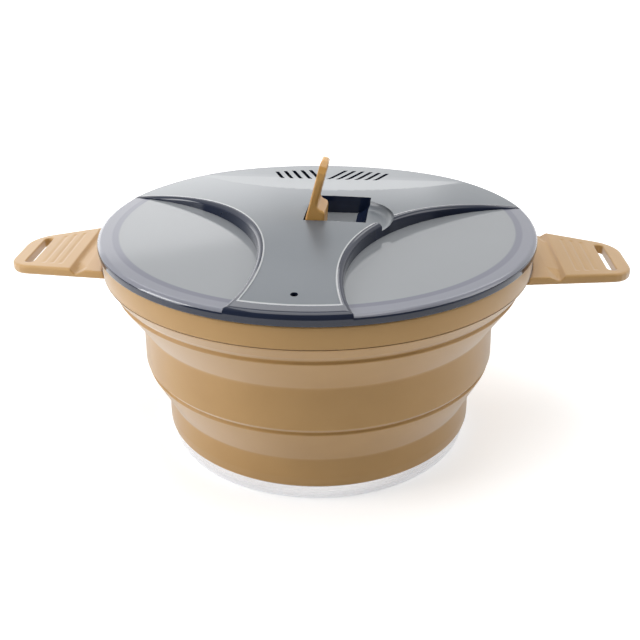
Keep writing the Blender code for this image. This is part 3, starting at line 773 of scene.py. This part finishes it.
def drumSolid(radius, steps, centre, low, high):
    bm = bmesh.new()
    bmesh.ops.create_cone(bm, cap_ends=True, segments=steps, radius1=radius, radius2=radius,
                          depth=high - low)
    return placed(bm, centre[0], centre[1], (low + high) / 2)


def windowDrums(extra, low, high, steps=lid["facets"]):
    return joined(*[drumSolid(lid["windowR"] + extra, steps, (side * lid["windowX"], lid["windowY"]),
                              low, high) for side in (-1, 1)])


def lidSolid():
    rim, outer, inner = lid["rim"], lid["skirtOuter"], lid["skirtInner"]
    lip, pane = -lid["lipThickness"], -lid["paneThickness"]
    arc = [Vector(point) for point in crownArc(rim - lid["edgeRun"])]
    arc += roundedEdge(lid["edgeRun"], arc[-1].y - lid["edgeFoot"], arc[-1].y)
    under = softened([
        (rim, -lid["lipRound"]), (rim, lip, lid["lipRound"]), (outer, lip, lid["skirtRound"]),
        (outer, lid["skirtLow"], lid["skirtRound"]),
        (inner, lid["skirtLow"], lid["skirtInnerRound"]), (inner, pane, lid["skirtTopRound"]),
        (0, pane)])
    return settleCrown(spun(arc + under, lid["facets"]), True)


def roundedEdge(run, fall, top):
    # a quarter of an ellipse at the rim, from its start on the top to its upright end
    count = lid["edgeBends"]
    bends = [pi / 2 * bend / count for bend in range(1, count + 1)]
    return [Vector((lid["rim"] - run * (1 - sin(bend)), top - fall * (1 - cos(bend))))
            for bend in bends]


def windowRoom():
    # above the panes: flat, and falling with a rounded edge at the rim
    run, top = lid["paneEdge"], lid["paneRise"]
    floor = [Vector((0, top)), Vector((lid["rim"] - run, top))]
    floor += roundedEdge(run, top - lid["edgeFoot"], top)
    outer = lid["rim"] * lid["roomWide"]
    high = lid["cutHigh"]
    return spun(floor + [Vector((outer, lid["edgeFoot"])), Vector((outer, high)), Vector((0, high))],
                lid["facets"])


def slabSolid(sunk):
    # everything above the back slope, as a long prism across the lid
    wide = lid["rim"] * lid["slabWide"]
    stops = [*lid["slabFront"], lid["kneeY"], *lid["slabBack"]]
    outline = [(y, backOf(y)) for y in stops]
    outline += [(stops[-1], lid["cutHigh"]), (stops[0], lid["cutHigh"])]
    bm = bmesh.new()
    face = bm.faces.new([bm.verts.new((-wide, y, z - sunk)) for y, z in outline])
    grown = bmesh.ops.extrude_face_region(bm, geom=[face])["geom"]
    far = [item for item in grown if isinstance(item, bmesh.types.BMVert)]
    bmesh.ops.translate(bm, vec=(wide * 2, 0, 0), verts=far)
    return bm


def lipSolid(side):
    steps = windowLip["steps"]
    first, last = [radians(angle) for angle in windowLip["fromTo"]]
    bends = [radians(angle) for angle in windowLip["bends"]]
    outX, outZ = windowLip["outside"]
    inX, inZ = windowLip["inside"]

    def place(row, column):
        turn = first + (last - first) * column / steps
        out = lid["windowR"] + windowLip["run"]
        x = lid["windowX"] - out * cos(turn)
        y = lid["windowY"] + out * sin(turn)
        top = min(crownAt(x, y), backOf(y))
        fall = min(windowLip["fall"], max(top - lid["paneRise"] - windowLip["left"], windowLip["left"]))
        section = [(windowLip["inset"] + windowLip["run"] * (1 - cos(bend)), -fall * (1 - sin(bend)))
                   for bend in bends]
        away, drop = section[-1]
        section += [(away + outX, drop + outZ), (inX, inZ), (inX, -fall), section[0]]
        away, drop = section[row]
        reach = lid["windowR"] + away
        return (side * (lid["windowX"] - reach * cos(turn)),
                lid["windowY"] + reach * sin(turn), top + drop)

    # each section has three more corners than bends
    bm = sheetGrid(len(bends) + 3, steps, place)
    bmesh.ops.remove_doubles(bm, verts=bm.verts, dist=meshing["toolJoin"])
    bmesh.ops.holes_fill(bm, edges=bm.edges, sides=0)
    return bm


def sheetGrid(rows, columns, place):
    # a unit grid whose every point is put in place by its row and column number
    bm = bmesh.new()
    bmesh.ops.create_grid(bm, x_segments=rows, y_segments=columns, size=0.5)
    for vert in bm.verts:
        row = round((vert.co.x + 0.5) * rows)
        column = round((vert.co.y + 0.5) * columns)
        vert.co = place(row, column)
    return bm


spareTools = []


def cutter(name, bm, material, *keepers):
    # a cutting tool that leaves alone what its keepers fill
    piece = newPiece(name, bm, [material], meshing["toolJoin"])
    for number, keeper in enumerate(keepers):
        kept = newPiece(name + "_keep_" + str(number), keeper, [], meshing["toolJoin"])
        carve(piece, kept)
        spareTools.append(kept)
    spareTools.append(piece)
    return piece


def scoopRoom(extra):
    low = (pocket["right"] - pocket["scoopLap"], pocket["front"] - extra, lid["cutLow"])
    return boxSolid(low, (lid["rim"], lid["rim"], lid["cutHigh"]))


def pocketSolid():
    bm = boxSolid((pocket["left"], pocket["front"], pocket["floor"]),
                  (pocket["right"], pocket["back"], lid["crown"] * 2))
    upright = [edge for edge in bm.edges
               if abs(edge.verts[0].co.z - edge.verts[1].co.z) > pocket["near"]]
    bmesh.ops.bevel(bm, geom=upright, affect='EDGES', offset=pocket["corner"],
                    segments=pocket["cornerBends"], profile=0.5, material=-1)
    far = pocket["right"] - pocket["near"]
    low = pocket["floor"] + pocket["near"]
    floorEdges = [edge for edge in bm.edges
                  if all(vert.co.x > far and vert.co.z < low for vert in edge.verts)]
    bmesh.ops.bevel(bm, geom=floorEdges, affect='EDGES', offset=pocket["round"],
                    segments=pocket["roundBends"], profile=0.5, material=-1)
    return bm


def scoopSolid():
    flat = pocket["scoopR"] * pocket["scoopFlatShare"]
    top = lid["crown"] * 2
    profile = softened([(0, pocket["scoopFloor"]),
                        (pocket["scoopR"], pocket["scoopFloor"], pocket["scoopR"] - flat),
                        (pocket["scoopR"], top), (0, top)], pocket["scoopBends"])
    return placed(spun(profile, pocket["scoopFacets"]), pocket["scoopX"], pocket["scoopY"])


def slotSolid():
    bm = bmesh.new()
    frontY, slant, wide = strainer["frontY"], strainer["slantShare"], strainer["width"]
    for side, count in ((-1, strainer["left"]), (1, strainer["right"])):
        for number in range(count):
            front = strainer["first"] + strainer["pitch"] * number
            reach = front + slant * (strainer["backR"] - frontY)
            backY = sqrt(strainer["backR"] ** 2 - (strainer["axisX"] + side * reach) ** 2)
            back = front + slant * (backY - frontY)
            corners = ((front, frontY), (front + wide, frontY), (back + wide, backY), (back, backY))
            base = [bm.verts.new((strainer["axisX"] + side * out, y, strainer["low"]))
                    for out, y in corners]
            grown = bmesh.ops.extrude_face_region(bm, geom=[bm.faces.new(base)])["geom"]
            lifted = [item for item in grown if isinstance(item, bmesh.types.BMVert)]
            bmesh.ops.translate(bm, vec=(0, 0, strainer["height"]), verts=lifted)
    return bm


def hollowSolid():
    low = -lid["paneThickness"] - lid["hollowDrop"]
    profile = [Vector(point) for point in crownArc(lid["hollowR"], lid["shell"])]
    profile += [Vector((lid["hollowR"], low)), Vector((0, low))]
    return settleCrown(spun(profile, lid["hollowFacets"]))


def insetSolid(lastR, sunk):
    # above a slightly sunken crown: to a strip at the front, and to the rim at the sides and back
    high = lid["crown"] * 2
    profile = [Vector(point) for point in crownArc(lastR, sunk)]
    bm = settleCrown(spun(profile + [Vector((lastR, high)), Vector((0, high))], lid["facets"]))
    for vert in bm.verts:
        if vert.co.xy.length > lastR * lid["stripShare"] and vert.co.y > lid["sideFrom"]:
            vert.co.xy *= lid["sideR"] / lastR
            if vert.co.z < lid["crown"]:
                vert.co.z = crownAt(vert.co.x, vert.co.y) - sunk
    return bm


def linerSolid():
    wall = pocket["wall"]
    return boxSolid((pocket["left"] - wall, pocket["front"] - wall, pocket["linerLow"]),
                    (pocket["right"] + wall, pocket["back"] + wall, pocket["linerTop"]))


def earSolid():
    near, far = pocket["earY"]
    return boxSolid((pocket["left"] - pocket["earRoot"], near, pocket["earLow"]),
                    (pocket["earX"], far, pocket["earTop"]))


def pinHoleSolid():
    bm = drumSolid(pocket["holeR"], pocket["holeFacets"], (0, 0), 0, pocket["holeLength"])
    start = (pocket["hingeX"], pocket["front"] - pocket["holeStart"], pocket["hingeZ"])
    bmesh.ops.transform(bm, verts=bm.verts,
                        matrix=Matrix.Translation(start) @ Matrix.Rotation(-pi / 2, 4, 'X'))
    return bm


def lidCutters():
    low, high = lid["cutLow"], lid["crown"] * 2
    wall = pocket["wall"]
    scoopAt = (pocket["scoopX"], pocket["scoopY"])
    shelf = cutter("shelf", drumSolid(pocket["scoopR"] + wall, pocket["shelfFacets"], scoopAt,
                                      pocket["scoopFloor"] - wall, high), darkGloss)
    carve(shelf, cutter("shelf_room", scoopRoom(wall), darkGloss), 'INTERSECT')
    hollow = cutter("hollow", hollowSolid(), darkGloss,
                    windowDrums(lid["shell"], low, high, lid["keeperFacets"]),
                    slabSolid(lid["shell"]), linerSolid())
    carve(hollow, shelf)
    under = cutter("pane_under", windowDrums(0, low, lid["paneRise"] - lid["paneThickness"]),
                   clearPane)
    drum = cutter("pane_drum", drumSolid(lid["skirtInner"] - lid["skirtPlay"], lid["facets"], (0, 0),
                                         lid["underLow"], lid["underHigh"]), darkGloss)
    carve(under, drum, 'INTERSECT')
    scoop = cutter("scoop", scoopSolid(), satin)
    carve(scoop, cutter("scoop_room", scoopRoom(0), darkGloss), 'INTERSECT')
    well = cutter("pocket", pocketSolid(), darkGloss, earSolid())
    border = windowLip["run"] + lid["bead"]
    # the bead strip wears the pale colour of a painted highlight
    bead = cutter("bead", insetSolid(lid["stripR"] + lid["beadFront"], lid["beadSink"]), highlightBead,
                  windowDrums(border, low, high * 2))
    recess = cutter("recess", insetSolid(lid["stripR"], lid["sink"]), satin,
                    windowDrums(border + lid["beadWidth"], low, high * 2))
    windows = cutter("windows", windowDrums(0, low, high), darkGloss)
    carve(windows, cutter("window_room", windowRoom(), clearPane), 'INTERSECT')
    windows.modifiers[-1].material_mode = 'TRANSFER'
    slab = cutter("slab", slabSolid(0), satin)
    lips = [cutter("lip_" + name, lipSolid(side), darkGloss) for name, side in (("l", -1), ("r", 1))]
    slots = cutter("slots", slotSolid(), darkGloss)
    vent = cutter("vent", drumSolid(strainer["ventR"], strainer["ventFacets"],
                                    (strainer["ventX"], strainer["ventY"]),
                                    strainer["low"], strainer["ventTop"]), darkGloss)
    pinHole = cutter("pin_hole", pinHoleSolid(), darkGloss)
    return [hollow, under, slab, bead, recess, windows, *lips, well, scoop, slots, vent, pinHole]


def makeLid():
    shell = newPiece("lid_moulding", lidSolid(), [darkGloss])
    for cut in lidCutters():
        carve(shell, cut)
        shell.modifiers[-1].material_mode = 'TRANSFER'
    settle(shell)
    for spare in spareTools:
        bpy.data.objects.remove(spare)
    finishLid(shell)
    print("lid faces", len(shell.data.polygons), [slot.name for slot in shell.data.materials])


def softenEdges(mesh):
    # every outward edge of the moulding is eased a little
    bm = bmesh.new()
    bm.from_mesh(mesh)
    bmesh.ops.remove_doubles(bm, verts=bm.verts, dist=lid["edgeMerge"])
    bmesh.ops.dissolve_degenerate(bm, edges=bm.edges, dist=lid["edgeMerge"])
    edges = [edge for edge in bm.edges if edge.is_manifold and edge.is_convex
             and edge.calc_face_angle(0) > radians(lid["edgeAngle"])]
    bmesh.ops.bevel(bm, geom=edges, affect='EDGES', offset=lid["edgeSoft"], segments=2,
                    profile=0.5, material=-1, clamp_overlap=True)
    bm.to_mesh(mesh)
    bm.free()
    mesh.shade_smooth()
    mesh.set_sharp_from_angle(angle=radians(meshing["sharpAngle"]))


def isUnderside(face):
    spot = face.center
    low = -lid["paneThickness"] - finishAt["under"]
    return spot.z < low and spot.xy.length < lid["skirtOuter"] + finishAt["skirt"]


def isBackRim(face):
    spot = face.center
    behind = spot.xy.length > finishAt["rimR"] and spot.y > finishAt["rimY"]
    return behind and spot.z > finishAt["rimZ"] and face.normal.z > finishAt["rimLean"]


def isPocketFloor(face):
    spot = face.center
    inside = pocket["left"] < spot.x < pocket["right"] and pocket["front"] < spot.y < pocket["back"]
    level = face.normal.z > finishAt["level"]
    return inside and level and abs(spot.z - pocket["floor"]) < finishAt["floor"]


def isWindowWall(face):
    spot = face.center
    across = (Vector((abs(spot.x), spot.y)) - Vector((lid["windowX"], lid["windowY"]))).length
    steep = abs(face.normal.z) < finishAt["steep"]
    return spot.z > 0 and steep and abs(across - lid["windowR"]) < finishAt["wall"]


def finishLid(shell):
    # clear panes, underside and pocket floor, polished walls, and satin round the back rim
    mesh = shell.data
    mesh.materials.append(darkWall)
    names = [material.name for material in mesh.materials]
    finishes = (darkGloss, clearPane, satin, darkWall)
    gloss, pane, matt, wall = [names.index(item.name) for item in finishes]
    for face in mesh.polygons:
        if face.material_index == pane and abs(face.normal.z) < finishAt["steep"]:
            face.material_index = gloss
        if isUnderside(face):
            face.material_index = pane
        if isBackRim(face):
            face.material_index = matt
        if isPocketFloor(face):
            face.material_index = pane
        if isWindowWall(face):
            face.material_index = wall
    softenEdges(mesh)
    lift = Matrix.Translation((0, 0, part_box("lid_shell")[0].z + lid["rise"]))
    mesh.transform(lift @ Matrix.Rotation(radians(lid["turn"]), 4, 'Z'))
    even = shell.modifiers.new("even_shading", 'WEIGHTED_NORMAL')
    even.mode = 'FACE_AREA'
    even.keep_sharp = True
    dress(shell, "lid", "smoke_plastic", "lid_shell")


makeLid()
print("lid ready")

# Stage, light and camera
studio = {
    "floorSize": 6.0,
    "floorColour": (0.84, 0.84, 0.84),
    "floorRoughness": 0.7,
    "floorSpecular": 0.1,
    "glowSpan": (0.12, 1.0),
    "glow": (0.40, 1.0),
    "world": (0.11, 0.55),
    "worldSpan": (-0.7, 0.4),
    "mirror": (0.22, 1.0),
    "mirrorSpan": (-0.6, 0.2),
}


def addMath(tree, operation, first, second):
    node = tree.nodes.new("ShaderNodeMath")
    node.operation = operation
    tree.links.new(first, node.inputs[0])
    tree.links.new(second, node.inputs[1])
    return node.outputs[0]


def addSeen(tree):
    # 1 for what is seen directly, mirrored or through clear plastic
    path = tree.nodes.new("ShaderNodeLightPath")
    direct = addMath(tree, 'MAXIMUM', path.outputs["Is Camera Ray"], path.outputs["Is Glossy Ray"])
    return addMath(tree, 'MAXIMUM', direct, path.outputs["Is Transmission Ray"])


def makeFloor():
    # pale, and glowing towards white away from the pot, only for what is seen
    bm = bmesh.new()
    bmesh.ops.create_grid(bm, x_segments=1, y_segments=1, size=studio["floorSize"] / 2)
    material, tree, shader = shaderOf("paleFloor")
    shader.inputs["Base Color"].default_value = (*studio["floorColour"], 1)
    shader.inputs["Roughness"].default_value = studio["floorRoughness"]
    shader.inputs["Specular IOR Level"].default_value = studio["floorSpecular"]
    near, far = studio["glowSpan"]
    level = addRange(tree, addRadius(tree), *studio["glow"], near * tenths, far * tenths)
    glow = addMath(tree, 'MULTIPLY', addSeen(tree), level)
    tree.links.new(glow, shader.inputs["Emission Strength"])
    shader.inputs["Emission Color"].default_value = (1, 1, 1, 1)
    floor = newPiece("floor", bm, [material])


def makeWorld():
    # white for the camera and behind the pot in mirrors, in a dim room that is darkest in front
    world = bpy.data.worlds.new("studioWorld")
    bpy.context.scene.world = world
    world.use_nodes = True
    tree = world.node_tree
    ground = tree.nodes["Background"]
    coords = tree.nodes.new("ShaderNodeTexCoord")
    parts = tree.nodes.new("ShaderNodeSeparateXYZ")
    tree.links.new(coords.outputs["Generated"], parts.inputs["Vector"])
    room = addRange(tree, parts.outputs["Y"], *studio["world"], *studio["worldSpan"])
    mirrored = addRange(tree, parts.outputs["Y"], *studio["mirror"], *studio["mirrorSpan"])
    path = tree.nodes.new("ShaderNodeLightPath")
    white = addMath(tree, 'MAXIMUM', path.outputs["Is Camera Ray"], mirrored)
    level = tree.nodes.new("ShaderNodeMix")
    tree.links.new(addSeen(tree), level.inputs["Factor"])
    tree.links.new(room, level.inputs["A"])
    tree.links.new(white, level.inputs["B"])
    tree.links.new(level.outputs["Result"], ground.inputs["Strength"])
    ground.inputs["Color"].default_value = (1, 1, 1, 1)


lamps = {
    "backBox": {"at": (-0.45, 1.20, 0.24), "aim": (0, 0, 0.11), "size": (1.4, 0.34),
                "power": 1.95},
    "leftBox": {"at": (-0.50, 1.05, 0.45), "aim": (0, 0, 0.11), "size": (0.72, 0.22),
                "power": 0.45},
    "edgeBox": {"at": (0.00, 1.15, 1.08), "aim": (0, -0.08, 0.11), "size": (1.7, 0.28),
                "power": 3.4},
    "overhead": {"at": (0.00, -0.10, 1.25), "aim": (0, 0, 0.05), "size": (1.0, 1.0),
                 "power": 8.2},
    "leftKey": {"at": (-0.75, -0.20, 0.36), "aim": (0, 0, 0.06), "size": (0.40, 0.40),
                "power": 4.0},
    "rightFill": {"at": (0.80, 0.00, 0.50), "aim": (0, 0, 0.06), "size": (0.45, 0.45),
                  "power": 1.3},
}


def makeLamp(name, values):
    light = bpy.data.lights.new(name, 'AREA')
    light.shape = 'RECTANGLE'
    light.size, light.size_y = values["size"]
    light.energy = values["power"]
    lamp = bpy.data.objects.new(name, light)
    bpy.context.scene.collection.objects.link(lamp)
    lamp.location = values["at"]
    away = Vector(values["at"]) - Vector(values["aim"])
    lamp.rotation_euler = away.to_track_quat('Z', 'Y').to_euler()


view = {
    "at": (0.0223, -0.3604, 0.2282),
    "turn": (63.539, 0.4816, 3.1723),
    "lens": 49.832,
    "sensor": 36,
    "near": 0.01,
}


def makeCamera():
    data = bpy.data.cameras.new("photoCamera")
    data.lens = view["lens"]
    data.sensor_width = view["sensor"]
    data.clip_start = view["near"]
    camera = bpy.data.objects.new("photoCamera", data)
    bpy.context.scene.collection.objects.link(camera)
    camera.location = view["at"]
    camera.rotation_euler = Euler([radians(part) for part in view["turn"]], 'XYZ')
    bpy.context.scene.camera = camera


makeFloor()
makeWorld()
for lampName, lampValues in lamps.items():
    makeLamp(lampName, lampValues)
makeCamera()
bpy.context.scene.view_settings.view_transform = 'Standard'
print("stage, light and camera ready")
